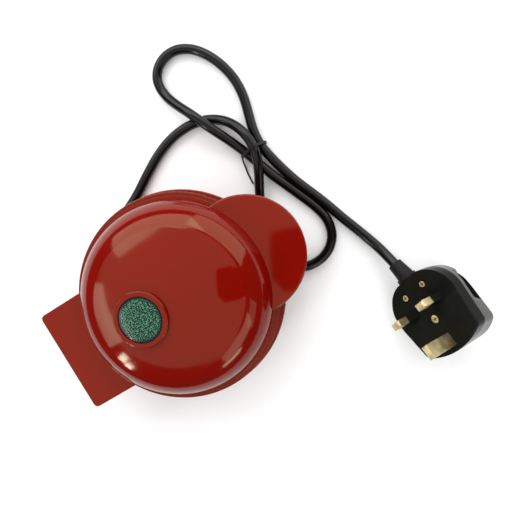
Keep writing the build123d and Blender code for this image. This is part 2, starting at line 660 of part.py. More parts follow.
def hinge_pins():
    return [across(start, PIN_D / 2, PIN_L) for start in both_sides((EAR_X,), PIN_L)]


def bottom_cover():
    cover = Pos(0, 0, FOOT_H) * extrude(bottom_outline(0), COVER_T)
    for i in range(VENTS):
        x = (i - (VENTS - 1) / 2) * 3 * VENT_W
        cover -= Pos(x, 0, FOOT_H) * extrude(SlotOverall(VENT_L, VENT_W, rotation=90), COVER_T)
    for x, y in foot_places():
        cover -= Pos(x, y, FOOT_H) * extrude(Circle(FOOT_STEM_D / 2 + 0.1), COVER_T)
    for x, y in cover_screw_places():
        cover -= Pos(x, y, FOOT_H) * extrude(Circle(SCREW_D / 2 + 0.2), COVER_T)
        cover -= Pos(x, y, FOOT_H) * extrude(Circle(SCREW_HEAD_D / 2 + 0.2), COVER_SCREW_SINK)
    return cover


def cover_screw_places():
    side = COVER_R - COVER_SCREW_IN
    return [(-side, COVER_SCREW_Y_SIDE), (side, COVER_SCREW_Y_SIDE), (0.0, -side),
            (0.0, COVER_TAIL_Y - COVER_SCREW_IN)]


def foot_places():
    front = (COVER_R - FRONT_FOOT_IN[0], FRONT_FOOT_IN[1] - COVER_R)
    rear = (COVER_TAIL_W / 2 - REAR_FOOT_IN[0], COVER_TAIL_Y - REAR_FOOT_IN[1])
    return [(s * x, y) for x, y in (front, rear) for s in (-1, 1)]


def rubber_feet():
    """Feet whose stems are pulled through the bottom cover."""
    pad = fillet(extrude(Circle(FOOT_D / 2), FOOT_H).edges().group_by(Axis.Z)[0], 0.8)
    stem = Pos(0, 0, FOOT_H) * extrude(Circle(FOOT_STEM_D / 2), COVER_T)
    head = Pos(0, 0, COVER_TOP_Z) * extrude(Circle(FOOT_HEAD_R), FOOT_HEAD_H)
    return [Pos(x, y, 0) * (pad + stem + head) for x, y in foot_places()]


def cross_recess(depth):
    return extrude(Rectangle(3.2, 0.8) + Rectangle(0.8, 3.2), depth)


def cover_screws():
    head = extrude(Circle(SCREW_HEAD_D / 2), COVER_SCREW_SINK) - cross_recess(0.8)
    shank = Pos(0, 0, COVER_SCREW_SINK) * extrude(Circle(SCREW_D / 2), COVER_SCREW_L)
    return [Pos(x, y, FOOT_H) * (head + shank) for x, y in cover_screw_places()]


def lens_plane():
    """Plane on the dome at the middle of the indicator window."""
    lean = LENS_Y / dome_radius(0.0)
    return Plane(origin=(0, LENS_Y, dome_z(LENS_Y)), x_dir=(1, 0, 0),
                 z_dir=(0, lean, math.sqrt(1 - lean**2)))


def lens_disc(radius, low, high):
    """A disc in the window's plane between two depths."""
    return lens_plane() * Pos(0, 0, low) * extrude(Circle(radius), high - low)


def lid_shell():
    body = round_edges(lid_solid(0), LID_R, SKIRT_TOP_Z, 0.7)
    body = round_edges(body, STEP_R, SHOULDER_Z, 0.4)
    block = block_solid(BLOCK_W, REAR_REACH, SKIRT_Z, BLOCK_TOP_Z, BLOCK_FRONT_Y, BLOCK_CORNER_R)
    top = block.edges().group_by(Axis.Z)[-1].filter_by(lambda e: e.center().Y > BLOCK_FRONT_Y + 1)
    body += fillet(top, 0.8)
    handle = crescent(HANDLE_R, FRONT_REACH, HANDLE_TOP_Z, HANDLE_T)
    body += handle - lid_solid(WALL)
    boss = lens_disc(LENS_BOSS_D / 2, -WALL, LENS_BOSS_H)
    body += fillet(boss.edges().filter_by(GeomType.CIRCLE).sort_by(Axis.Z)[-1], 0.9)
    body -= lid_solid(WALL)
    body -= lens_disc(LENS_D / 2 + SEAL_T + 0.05, -LENS_SEAT, LENS_RISE)
    body -= lens_disc(LENS_LEG_R + 0.2, -3 * WALL, LENS_RISE)
    hollow = block_solid(BLOCK_W - 2 * WALL, REAR_REACH - WALL, SKIRT_Z - 1, BLOCK_TOP_Z - WALL,
                         BLOCK_FRONT_Y, BLOCK_CORNER_R - 1)
    body -= hollow - Cylinder(LID_R, 4 * LID_R)
    low = 2 * MID_Z - LEDGE_Z
    body += turned([(LEDGE_IN_R, low), (SKIRT_IN_R + WALL / 2, low),
                    (SKIRT_IN_R + WALL / 2, low + LEDGE_T), (LEDGE_IN_R, low + LEDGE_T)])
    body -= Pos(LEAD_X, LID_R, LID_LEAD_Z) * Rot(90, 0, 0) * Cylinder(LEAD_D / 2 + 0.05, 6)
    for start in both_sides((LUG_X,), LUG_T):
        body += hinge_lug(start)
        body -= across(start - 1, PIN_D / 2 + PIN_CLEAR, LUG_T + 2)
    return body


def indicator_lens():
    """Crowned window with a skirt whose three hooks snap behind the lid's wall."""
    sag = LENS_RISE - LENS_EDGE_H
    radius = LENS_D / 2
    big = (radius**2 + sag**2) / (2 * sag)
    crown = lens_plane() * Pos(0, 0, LENS_RISE - big) * Sphere(big)
    body = lens_disc(radius, -LENS_SEAT, LENS_RISE) & crown
    body += lens_disc(LENS_LEG_R, -LENS_LEG_H, 0)
    hooks = lens_disc(LENS_LEG_R + 1.0, -LENS_LEG_H, -LENS_LEG_H + 1.2)
    for i in range(3):
        hooks -= lens_plane() * Rot(0, 0, 120 * i) * Pos(10, 0, -LENS_LEG_H) * Box(12, 18, 4)
    return body + hooks - lens_disc(LENS_LEG_R - 1.2, -LENS_LEG_H, 0.4)


def lens_seal():
    """Soft ring round the window, in the lid's seat."""
    outer = lens_disc(LENS_D / 2 + SEAL_T, -LENS_SEAT, LENS_EDGE_H - 0.2)
    return outer - lens_disc(LENS_D / 2 + 0.05, -LENS_SEAT, LENS_EDGE_H)


def lamp_holder():
    """Bracket on the lid's pan that carries the indicator lamp."""
    base = 2 * MID_Z - PAN_UNDER_Z
    body = Pos(0, LAMP_Y, base) * extrude(RectangleRounded(18, 9, 2), 1.0)
    body += Pos(0, LAMP_Y, base) * extrude(Circle(LAMP_D / 2 + 1.2), 4.0)
    return body - Pos(0, LAMP_Y, base + 1.0) * extrude(Circle(LAMP_D / 2 + 0.05), 3.0)


def indicator_lamp():
    base = 2 * MID_Z - PAN_UNDER_Z + 1.0
    body = Pos(0, LAMP_Y, base) * extrude(Circle(LAMP_D / 2), 7.0)
    return body + Pos(0, LAMP_Y, base + 7.0) * Sphere(LAMP_D / 2)


def cord_relief():
    """Tapered, grooved strain relief on the side of the hinge block."""
    mouth, way = relief_axis()
    root = mouth - way * RELIEF_L
    straight = RELIEF_IN + 3
    body = along(root, way, RELIEF_D / 2, straight)
    body += tapered(root + way * straight, way, RELIEF_D / 2, RELIEF_TIP_D / 2,
                    RELIEF_L - straight)
    for i in range(RELIEF_GROOVES):
        at = root + way * (straight + 1.5 + 2.3 * i)
        body -= along(at, way, RELIEF_D, 1.0) - along(at, way, RELIEF_TIP_D / 2 - 0.6, 1.0)
    return body


def plug_frame():
    """The plug's place: local Z along its pins, local Y towards the earth pin."""
    heading, pitch, roll = (math.radians(a) for a in
                            (PLUG_HEADING_DEG, PLUG_PITCH_DEG, PLUG_ROLL_DEG))
    earthward = Vector(math.cos(heading) * math.cos(pitch), math.sin(heading) * math.cos(pitch),
                       math.sin(pitch))
    side = Vector(math.sin(heading), -math.cos(heading), 0)
    up = side.cross(earthward)
    pinward = up * math.cos(roll) + side * math.sin(roll)
    return Plane(origin=PLUG_AT, x_dir=earthward.cross(pinward), z_dir=pinward)


def cord_points():
    """The whole route, ended by a straight run in line with the plug's sleeve."""
    bend = Vector(*SLEEVE_BEND)
    tip = Vector(*SLEEVE_TIP)
    way = (tip - bend).normalized()
    plane = plug_frame()
    end = plane.from_local_coords(tip)
    before = plane.from_local_coords(tip + way * CORD_END_RUN)
    return [Vector(*p) for p in CORD_ROUTE] + [before, end]


def corner_radii(points):
    """An arc as large as the two runs at each corner allow."""
    radii = []
    for a, b, c in zip(points, points[1:], points[2:]):
        turn = math.radians((b - a).get_angle(c - b))
        run = min((b - a).length, (c - b).length)
        radii.append(0.45 * run / math.tan(turn / 2))
    return radii


def mains_cord():
    points = cord_points()
    radii = corner_radii(points)
    body = tube(points, radii, CORD_D)
    print("cord radii", [round(r, 1) for r in radii])
    length = FilletPolyline(*points, radius=radii).length
    print("cord length", round(length, 1), "volume over section times length",
          round(body.volume / (length * math.pi * CORD_D**2 / 4), 4))
    return body


def cord_tie():
    """Wire tie round the three strands of the bundle, with its loose tail."""
    grown = CORD_D / 2 + TIE_CLEAR

    def outline(radius):
        circles = Sketch() + [Pos(y, z) * Circle(radius) for y, z in TIE_STRANDS]
        return make_hull(circles.edges())

    band = extrude(outline(grown + TIE_T), TIE_W) - extrude(outline(grown), TIE_W)
    band = Plane(origin=(TIE_X - TIE_W / 2, 0, 0), x_dir=(0, 1, 0), z_dir=(1, 0, 0)) * band
    return band + tube(TIE_TAIL, [2.5, 6], TIE_TAIL_D)


def plug_outline(narrow=1.0, inset=0.0):
    """The plug's face: rounded and flatted at the cord end, slightly bowed at the earth end."""
    half = FACE_HALF_W * narrow
    corner = FACE_CORNER[0] * narrow
    bulge = FACE_BULGE[0] * narrow
    flat = FACE_FLAT_W / 2 * narrow
    edges = [Line((-flat, FACE_CORD_Y), (flat, FACE_CORD_Y)),
             ThreePointArc((flat, FACE_CORD_Y), (bulge, FACE_BULGE[1]), (half, 0)),
             Line((half, 0), (corner, FACE_CORNER[1])),
             ThreePointArc((corner, FACE_CORNER[1]), (0, FACE_EARTH_Y),
                           (-corner, FACE_CORNER[1])),
             Line((-corner, FACE_CORNER[1]), (-half, 0)),
             ThreePointArc((-half, 0), (-bulge, FACE_BULGE[1]), (-flat, FACE_CORD_Y))]
    face = make_face(edges)
    face = fillet(face.vertices().filter_by(lambda v: abs(v.Y - FACE_CORNER[1]) < 0.01), 5.0)
    return offset(face, -inset) if inset else face


def pin_sections():
    """Each pin's name, place and section on the plug's face."""
    return [("line_pin", -PIN_PITCH / 2, 0.0, LIVE_PIN[0], LIVE_PIN[1], LIVE_PIN[2]),
            ("neutral_pin", PIN_PITCH / 2, 0.0, LIVE_PIN[0], LIVE_PIN[1], LIVE_PIN[2]),
            ("earth_pin", 0.0, PIN_PITCH, EARTH_PIN[0], EARTH_PIN[1], EARTH_PIN[2])]


def plug_pin(x, y, width, height, length):
    """A pin with a chamfered tip and the square head that holds its core inside the plug."""
    pin = Pos(x, y, -PLUG_WALL) * extrude(Rectangle(width, height), length + PLUG_WALL)
    pin = chamfer(pin.edges().group_by(Axis.Z)[-1], PIN_CHAMFER)
    head = extrude(Rectangle(PIN_HEAD, PIN_HEAD), PLUG_BASE_T - 1 - PLUG_WALL)
    return pin + Pos(x, y, -PLUG_BASE_T + 1) * head


def sleeve_bore(radius):
    """The passage for the cord's sleeve at the cord end of the plug."""
    return Pos(SLEEVE_X, FACE_CORD_Y - 4, SLEEVE_Z) * Rot(-90, 0, 0) * extrude(
        Circle(radius), 10)


def plug_base():
    body = Pos(0, 0, -PLUG_BASE_T) * extrude(plug_outline(), PLUG_BASE_T)
    body = fillet(body.edges().group_by(Axis.Z)[-1], 0.8)
    step = Pos(0, FACE_STEP_Y - 30, -FACE_STEP) * Box(60, 60, 2, align=(
        Align.CENTER, Align.CENTER, Align.MIN))
    body -= step
    body -= Pos(0, 0, -PLUG_BASE_T) * extrude(plug_outline(1.0, PLUG_WALL), PLUG_BASE_T - PLUG_WALL)
    screws = [(0, COVER_SCREW_Y), (-GRIP_SCREW[0], GRIP_SCREW[1]), GRIP_SCREW]
    for x, y in screws:
        body += Pos(x, y, -PLUG_BOSS_DEPTH) * extrude(
            Circle(PLUG_BOSS_R), PLUG_BOSS_DEPTH - PLUG_WALL)
        body -= Pos(x, y, -PLUG_BASE_T) * extrude(Circle(PLUG_SCREW_D / 2 + 0.2), PLUG_BASE_T)
        body -= Pos(x, y, -PLUG_WALL) * extrude(Circle(PLUG_BOSS_R - 0.8), 3)
    for _, x, y, width, height, _ in pin_sections():
        body -= Pos(x, y, -PLUG_BASE_T) * extrude(
            Rectangle(width + 2 * PIN_SEAT, height + 2 * PIN_SEAT), PLUG_BASE_T + 1)
    return body - sleeve_bore(SLEEVE_D / 2 + 0.05)


def plug_back(inset):
    """The cover's wedge-shaped outer form, or its hollow when inset is the wall."""
    top = Pos(0, 0, -PLUG_BASE_T) * plug_outline(1.0, inset)
    low = Pos(0, 0, -PLUG_DEEP) * plug_outline(PLUG_NARROW, inset)
    body = loft([top, low])
    slope = (PLUG_DEPTH_EARTH - PLUG_DEPTH_CORD) / (FACE_EARTH_Y - FACE_CORD_Y)
    near = -PLUG_DEPTH_CORD + inset
    far_y = 60
    keep = Plane.YZ * make_face(Polyline(
        (-far_y, 1), (far_y, 1), (far_y, near - slope * (far_y - FACE_CORD_Y)),
        (-far_y, near + slope * (far_y + FACE_CORD_Y)), close=True))
    return body & extrude(keep, 60, both=True)


def finger_scoops(grow):
    """Cylinders that hollow the cover's flanks for finger and thumb, made larger by grow."""
    lean = FACE_HALF_W * (1 - PLUG_NARROW) / (PLUG_DEEP - PLUG_BASE_T)
    down = Vector(-lean, 0, -1).normalized()
    out = Vector(1, 0, -lean).normalized()
    mid_z = -PLUG_BASE_T - SCOOP_L
    mid = Vector(FACE_HALF_W - lean * SCOOP_L, SCOOP_Y, mid_z)
    centre = mid + out * (SCOOP_R - SCOOP_DEPTH)
    scoops = []
    for side in (-1, 1):
        plane = Plane(origin=(side * centre.X, centre.Y, centre.Z),
                      z_dir=(side * down.X, 0, down.Z))
        scoops.append(plane * Cylinder(SCOOP_R + grow, SCOOP_L + 2 * grow))
    return scoops


def plug_cover():
    body = plug_back(0)
    back = body.faces().sort_by(Axis.Z)[0]
    body = fillet(back.edges(), PLUG_BACK_R)
    hollow = plug_back(PLUG_WALL)
    for outer, inner in zip(finger_scoops(0), finger_scoops(PLUG_WALL)):
        body -= outer
        hollow -= inner
    body -= hollow
    pillar = Pos(0, COVER_SCREW_Y, -PLUG_DEEP) * extrude(
        Circle(PLUG_BOSS_R), PLUG_DEEP - PLUG_BASE_T)
    body += pillar & plug_back(0)
    body -= Pos(0, COVER_SCREW_Y, -2 * PLUG_BASE_T) * extrude(
        Circle(PLUG_SCREW_BORE / 2), PLUG_BASE_T)
    return body - sleeve_bore(SLEEVE_D / 2 + 0.05)


def plug_screw(x, y, head_r, length):
    head = Pos(x, y, -PLUG_WALL) * extrude(Circle(head_r), 1.4)
    head -= Pos(x, y, -PLUG_WALL + 0.7) * extrude(Rectangle(2.6, 0.6) + Rectangle(0.6, 2.6), 1)
    return head + Pos(x, y, -PLUG_WALL - length) * extrude(Circle(PLUG_SCREW_D / 2), length)


def cord_grip():
    """Bar that clamps the cord inside the plug."""
    x, y = GRIP_SCREW
    low = SLEEVE_Z - CORD_D / 2 - 0.1 - GRIP_T
    bar = Pos(0, y, low) * extrude(RectangleRounded(2 * x + 5.6, 4.8, 2.3), GRIP_T)
    for side in (-1, 1):
        bar += Pos(side * x, y, low) * extrude(Circle(2.4), -low - PLUG_BOSS_DEPTH)
        bar -= Pos(side * x, y, low - 1) * extrude(Circle(PLUG_SCREW_BORE / 2), PLUG_BASE_T)
    return bar


def plug_sleeve():
    """Flexible sleeve at the plug, bent a little where the cord pulls it aside."""
    bend = Vector(*SLEEVE_BEND)
    tip = Vector(*SLEEVE_TIP)
    root = Vector(SLEEVE_X, FACE_CORD_Y + 2 * PLUG_WALL, SLEEVE_Z)
    back = Vector(0, -1, 0)
    body = along(root, back, SLEEVE_D / 2, (bend - root).length)
    body += along(root - back * 7, back, CORD_D / 2, 7)
    body += along(Vector(SLEEVE_X, FACE_CORD_Y - SLIP, SLEEVE_Z), back, SLEEVE_COLLAR_D / 2,
                  SLEEVE_COLLAR_T)
    body += Pos(bend) * Sphere(SLEEVE_D / 2)
    return body + tapered(bend, (tip - bend).normalized(), SLEEVE_D / 2, SLEEVE_TIP_D / 2,
                          (tip - bend).length)


def plug_fuse():
    """Cartridge fuse beside the line pin."""
    tube_body = extrude(Circle(FUSE_D / 2 - 0.3), FUSE_L)
    cap = extrude(Circle(FUSE_D / 2), FUSE_CAP_L)
    caps = cap + Pos(0, 0, FUSE_L - FUSE_CAP_L) * cap
    depth = PLUG_BASE_T - 1 + FUSE_D / 2 + 0.1
    return Pos(-PIN_PITCH / 2 - 1.0, -5, -depth) * Rot(-90, 0, 0) * (tube_body + caps)


def save(name, shape):
    solids = shape if isinstance(shape, list) else [shape]
    part = Compound(label=name, children=solids) if len(solids) > 1 else solids[0]
    part.label = name
    export_step(part, f"parts/{name}.step")


def main():
    os.makedirs("parts", exist_ok=True)
    lower_plate = waffle_plate()
    heater = element()
    screws = plate_screws()
    plug = plug_frame()
    nodes = {
        "base_shell": base_shell(),
        "lower_ring": ring(RIM_IN_R - SLIP),
        "lower_plate": lower_plate,
        "lower_element": heater,
        "lower_reflector": reflector(PAN_HOLE_R),
        "lower_plate_screws": screws,
        "thermostat": thermostat(),
        "thermal_fuse": thermal_fuse(),
        "fuse_clip": fuse_clip(),
        "terminal_block": terminal_block(),
        "supply_cores": supply_cores(),
        "bottom_cover": bottom_cover(),
        "cover_screws": cover_screws(),
        "rubber_feet": rubber_feet(),
        "hinge_pins": hinge_pins(),
        "base_lead": base_lead(),
        "cord_relief": cord_relief(),
        "mains_cord": mains_cord(),
        "cord_tie": cord_tie(),
        "plug_base": plug * plug_base(),
        "plug_cover": plug * plug_cover(),
        "cord_grip": plug * cord_grip(),
        "plug_sleeve": plug * plug_sleeve(),
        "plug_fuse": plug * plug_fuse(),
        "plug_cover_screw": plug * plug_screw(0, COVER_SCREW_Y, 2.4, 11),
        "cord_grip_screws": [plug * plug_screw(s * GRIP_SCREW[0], GRIP_SCREW[1], 1.8, 10)
                             for s in (-1, 1)],
        "lid_shell": lid_shell(),
        "upper_ring": over(ring(SKIRT_IN_R - SLIP)),
        "upper_plate": over(lower_plate),
        "upper_element": over(heater),
        "upper_reflector": over(reflector(LID_PAN_HOLE_R)),
        "upper_plate_screws": [over(s) for s in screws],
        "indicator_lens": indicator_lens(),
        "lens_seal": lens_seal(),
        "indicator_lamp": indicator_lamp(),
        "lamp_holder": lamp_holder(),
        "lid_lead": lid_lead(),
    }
    for name, x, y, width, height, length in pin_sections():
        nodes[name] = plug * plug_pin(x, y, width, height, length)
    for name, shape in nodes.items():
        save(name, shape)


main()
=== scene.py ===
import json
import math

import bmesh
import bpy
from mathutils import Matrix, Vector


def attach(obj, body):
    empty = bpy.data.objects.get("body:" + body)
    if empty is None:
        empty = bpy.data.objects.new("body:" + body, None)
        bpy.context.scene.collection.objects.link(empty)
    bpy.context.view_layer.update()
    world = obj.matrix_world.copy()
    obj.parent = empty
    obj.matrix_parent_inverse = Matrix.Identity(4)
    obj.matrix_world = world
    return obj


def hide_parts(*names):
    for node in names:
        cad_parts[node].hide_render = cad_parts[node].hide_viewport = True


MM = 0.001
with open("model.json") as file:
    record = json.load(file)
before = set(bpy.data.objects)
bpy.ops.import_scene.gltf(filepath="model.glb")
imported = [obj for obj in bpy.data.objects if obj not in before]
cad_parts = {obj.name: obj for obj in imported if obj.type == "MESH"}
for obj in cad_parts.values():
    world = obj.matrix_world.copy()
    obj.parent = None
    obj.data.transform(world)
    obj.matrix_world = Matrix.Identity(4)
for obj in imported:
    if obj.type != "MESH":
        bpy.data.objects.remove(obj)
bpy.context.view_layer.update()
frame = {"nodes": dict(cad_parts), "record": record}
nodes = frame["nodes"]

# The photograph's camera
CAMERA_AT = Vector((2.64, -98.99, 325.86)) * MM
CAMERA_RIGHT = Vector((-0.5187, -0.8458, -0.12476))
CAMERA_DOWN = Vector((-0.85471, 0.50951, 0.09941))
CAMERA_FORWARD = Vector((-0.02052, 0.1582, -0.98719))
FOCAL_PX = 498.5
FRAME_PX = 512
SENSOR_MM = 36.0
CLIP_START = 0.01

# Materials: the part of a noise's range that is used, how much finer the grain is than the
# mottling, and the grain's depth in metres
NOISE_RANGE = (0.3, 0.7)
GRAIN_FINER = 12
GRAIN_DEPTH = 0.0002

# Mains cord: its diameter in millimetres, how finely it is divided, and its route in
# millimetres
CORD_D = 6.3
CORD_STEPS = 6
CORD_ROUTE = [
    (46.5, 45.0, 12.8), (54.8, 37.6, 12.8), (60.9, 26.8, 8.6), (65.1, 14.3, 4.4),
    (71.2, 0.6, 3.3), (79.0, -12.6, 3.3), (85.5, -24.9, 3.3), (89.7, -36.4, 3.3),
    (91.3, -48.2, 3.3), (90.2, -59.8, 3.3), (86.0, -69.7, 3.4), (78.9, -77.2, 6.0),
    (69.4, -81.8, 9.6), (59.8, -83.4, 11.4), (49.6, -82.2, 11.4), (40.1, -77.4, 8.8),
    (30.2, -71.2, 5.0), (18.7, -65.0, 3.3), (6.8, -59.3, 3.3), (-4.9, -55.7, 3.3),
    (-16.4, -58.5, 3.3), (-24.9, -66.3, 3.3), (-28.3, -77.5, 3.3), (-26.0, -88.9, 3.3),
    (-18.1, -97.1, 3.3), (-7.0, -99.5, 3.3), (4.1, -96.7, 3.3), (15.2, -92.1, 3.3),
    (25.7, -87.7, 3.4), (36.3, -83.3, 4.0), (47.0, -79.9, 4.7), (57.1, -76.4, 4.7),
    (67.0, -72.3, 5.4), (75.7, -68.1, 8.6), (84.7, -63.9, 10.4), (94.4, -59.9, 10.2),
    (104.5, -54.9, 6.8), (114.4, -51.1, 3.8), (124.6, -50.5, 3.3), (132.5, -55.2, 3.3),
    (136.6, -63.7, 3.3), (135.8, -73.3, 3.3), (130.2, -81.8, 3.3), (121.5, -88.2, 3.3),
    (110.8, -92.6, 3.3), (99.1, -94.8, 3.3), (87.3, -94.0, 3.3), (76.2, -90.9, 3.7),
    (65.7, -87.9, 4.6), (54.9, -86.9, 4.7), (43.6, -89.1, 4.3), (32.4, -91.9, 3.3),
    (21.1, -95.6, 3.3), (9.6, -100.4, 3.3), (-1.2, -104.4, 3.3), (-12.0, -107.8, 3.3),
    (-22.6, -111.8, 3.3), (-33.0, -115.4, 4.2),
    (-42.8, -118.4, 6.9), (-52.5, -120.2, 11.7),
]

# Window: middle of its crown in millimetres, cells of its pebbled underside in a metre, and
# the distances from the middle between which it darkens towards its edge
LENS_AT = Vector((0.0, 15.0, 70.4))
LENS_CELLS = 980.0
LENS_EDGE = (10.9, 12.3)

# Plug, in millimetres: its frame, and the height of its screws' heads against its face
PLUG_AT = Vector((-80.1, -121.0, 30.1))
PLUG_HEADING, PLUG_PITCH, PLUG_ROLL = (math.radians(a) for a in (185.8, 22.0, 40.0))
PLUG_WALL = 2.2
SCREW_HEAD_H = 1.4
SCREW_TOP = SCREW_HEAD_H - PLUG_WALL
RECESS_SHADE = (0.5, 0.1)  # depths below a screw's top where the painted shade in its recess is full and where it has faded out

# Insulating sleeves on the roots of the line and neutral pins, in millimetres; their profile
# goes from the gap at the pin's surface up the outside and over an eased upper edge
PIN_X = 22.23 / 2
PIN_SECTION = (6.35, 3.97)
PIN_CORNER = 0.25
SLEEVE_LOW, SLEEVE_TOP = -0.7, 9.3
SLEEVE_GAP, SLEEVE_PROUD = 0.03, 0.18
SLEEVE_PROFILE = [(SLEEVE_GAP, SLEEVE_LOW), (SLEEVE_PROUD, SLEEVE_LOW),
                  (SLEEVE_PROUD, SLEEVE_TOP - 0.15), (0.13, SLEEVE_TOP - 0.04),
                  (SLEEVE_GAP, SLEEVE_TOP)]
CORNER_STEPS = 4

# Studio: the floor's half width and the lights' centre in metres, the strength of the pale
# surroundings as light and as backdrop
FLOOR_HALF = 1.15
LIGHT_CENTRE = Vector((0, 0, 0.05))
LIGHT_DISTANCE = 1.4
FILL_STRENGTH = 0.1
BACKDROP_STRENGTH = 0.9
# Soft panels: heading and height in degrees, size in metres, radiance, shape
LIGHTS = {
    "ceiling": (80.0, 80.0, (2.5, 3.0), 0.96, "ELLIPSE"),
    "wall_right": (-2.0, 34.0, (1.7, 1.0), 3.6, "RECTANGLE"),
    "wall_front": (-62.0, 25.0, (1.4, 1.2), 2.8, "RECTANGLE"),
    "window_a": (103.0, 27.0, (0.09, 0.26), 26.0, "RECTANGLE"),
    "window_c": (108.0, 25.0, (0.09, 0.30), 26.0, "RECTANGLE"),
    "glow_a": (78.0, 34.0, (0.72, 0.2), 3.7, "RECTANGLE"),
    "window_b": (179.0, 22.0, (0.45, 0.2), 7.0, "RECTANGLE"),
    "glow_b": (192.0, 38.0, (0.9, 0.5), 2.6, "RECTANGLE"),
    "glow_c": (218.0, 30.0, (0.5, 0.5), 1.2, "RECTANGLE"),
}
# Dark card above the appliance, which its gloss mirrors: height and corners in millimetres
CARD_Z = 150.0
CARD = [(5, -57), (-7, -49), (-27, -39), (-41, -42), (-61, -91), (-54, -190), (-10, -108),
        (-1, -74)]


def new_material(name):
    """A material with its node tree and Principled shader."""
    material = bpy.data.materials.new(name)
    material.use_nodes = True
    return material, material.node_tree, material.node_tree.nodes["Principled BSDF"]


def add(tree, kind, **values):
    """A node with its attributes and named input values set."""
    node = tree.nodes.new(kind)
    for key, value in values.items():
        if hasattr(node, key):
            setattr(node, key, value)
        else:
            node.inputs[key.replace("_", " ")].default_value = value
    return node


def put(name, data):
    """A new object in the scene."""
    piece = bpy.data.objects.new(name, data)
    bpy.context.scene.collection.objects.link(piece)
    return piece


def map_range(tree, value, source, target=(0.0, 1.0)):
    """A value mapped and clamped from one range to another."""
    node = add(tree, "ShaderNodeMapRange")
    for key, setting in zip(("From Min", "From Max", "To Min", "To Max"), (*source, *target)):
        node.inputs[key].default_value = setting
    tree.links.new(value, node.inputs["Value"])
    return node.outputs["Result"]


def noise_between(tree, scale, low, high, detail=3.0):
    """Noise on object coordinates, plain and mapped to a range from low to high."""
    place = add(tree, "ShaderNodeTexCoord")
    noise = add(tree, "ShaderNodeTexNoise", Scale=scale, Detail=detail)
    tree.links.new(place.outputs["Object"], noise.inputs["Vector"])
    plain = noise.outputs["Fac"]
    return plain, map_range(tree, plain, NOISE_RANGE, (low, high))


def add_bump(tree, shader, height, strength, distance):
    """A fine relief on a shader's surface."""
    bump = add(tree, "ShaderNodeBump", Strength=strength, Distance=distance)
    tree.links.new(height, bump.inputs["Height"])
    tree.links.new(bump.outputs["Normal"], shader.inputs["Normal"])


def colour_ramp(tree, factor, tones):
    """A colour that follows a factor through tones at given places."""
    ramp = add(tree, "ShaderNodeValToRGB")
    for at, _ in tones[1:-1]:
        ramp.color_ramp.elements.new(at)
    for element, (at, tone) in zip(ramp.color_ramp.elements, tones):
        element.position = at
        element.color = (*tone, 1)
    tree.links.new(factor, ramp.inputs["Fac"])
    return ramp.outputs["Color"]


def two_tones(tree, shader, factor, dark, light):
    """A base colour mottled between a dark and a light tone."""
    colour = colour_ramp(tree, factor, [(0.35, dark), (0.65, light)])
    tree.links.new(colour, shader.inputs["Base Color"])


def mix_colour(tree, factor):
    """A mix node for two colours, with its factor linked; inputs 6 and 7 take the colours."""
    mix = add(tree, "ShaderNodeMix", data_type="RGBA")
    tree.links.new(factor, mix.inputs[0])
    return mix


def simple_material(name, dark, light, rough, scale=40.0, bump=0.05, metallic=0.0, gloss=0.5):
    """A surface with slight mottling, uneven gloss and a fine grain."""
    material, tree, shader = new_material(name)
    plain, spread = noise_between(tree, scale, rough[0], rough[1])
    two_tones(tree, shader, plain, dark, light)
    tree.links.new(spread, shader.inputs["Roughness"])
    fine, _ = noise_between(tree, scale * GRAIN_FINER, 0, 1, 4.0)
    add_bump(tree, shader, fine, bump, GRAIN_DEPTH)
    shader.inputs["Metallic"].default_value = metallic
    shader.inputs["Specular IOR Level"].default_value = gloss
    return material


def red_gloss():
    """High-gloss red moulded plastic."""
    material, tree, shader = new_material("red_gloss")
    plain, spread = noise_between(tree, 18.0, 0.07, 0.12)
    two_tones(tree, shader, plain, (0.160, 0.0020, 0.0006), (0.168, 0.0025, 0.0008))
    tree.links.new(spread, shader.inputs["Roughness"])
    wave, _ = noise_between(tree, 30.0, 0, 1, 2.0)
    add_bump(tree, shader, wave, 0.03, 0.0004)
    shader.inputs["Specular IOR Level"].default_value = 0.3
    shader.inputs["Specular Tint"].default_value = (1.0, 0.92, 0.58, 1)
    return material


def matrix_of(columns):
    """A matrix with three vectors as its columns."""
    return Matrix([[c[i] for c in columns] for i in range(3)])


def plug_turn():
    """The plug's axes: X from line to neutral, Y towards the earth pin, Z along the pins."""
    earthward = Vector((math.cos(PLUG_HEADING) * math.cos(PLUG_PITCH),
                        math.sin(PLUG_HEADING) * math.cos(PLUG_PITCH), math.sin(PLUG_PITCH)))
    side = Vector((math.sin(PLUG_HEADING), -math.cos(PLUG_HEADING), 0))
    up = side.cross(earthward)
    pinward = up * math.cos(PLUG_ROLL) + side * math.sin(PLUG_ROLL)
    return matrix_of((earthward.cross(pinward), earthward, pinward))


def height_over_plug(tree):
    """How far a point lies along the pins from the plug's face, in metres."""
    place = add(tree, "ShaderNodeTexCoord")
    offset = add(tree, "ShaderNodeVectorMath", operation="SUBTRACT")
    tree.links.new(place.outputs["Object"], offset.inputs[0])
    offset.inputs[1].default_value = PLUG_AT * MM
    height = add(tree, "ShaderNodeVectorMath", operation="DOT_PRODUCT")
    tree.links.new(offset.outputs["Vector"], height.inputs[0])
    height.inputs[1].default_value = plug_turn().col[2]
    return height.outputs["Value"]


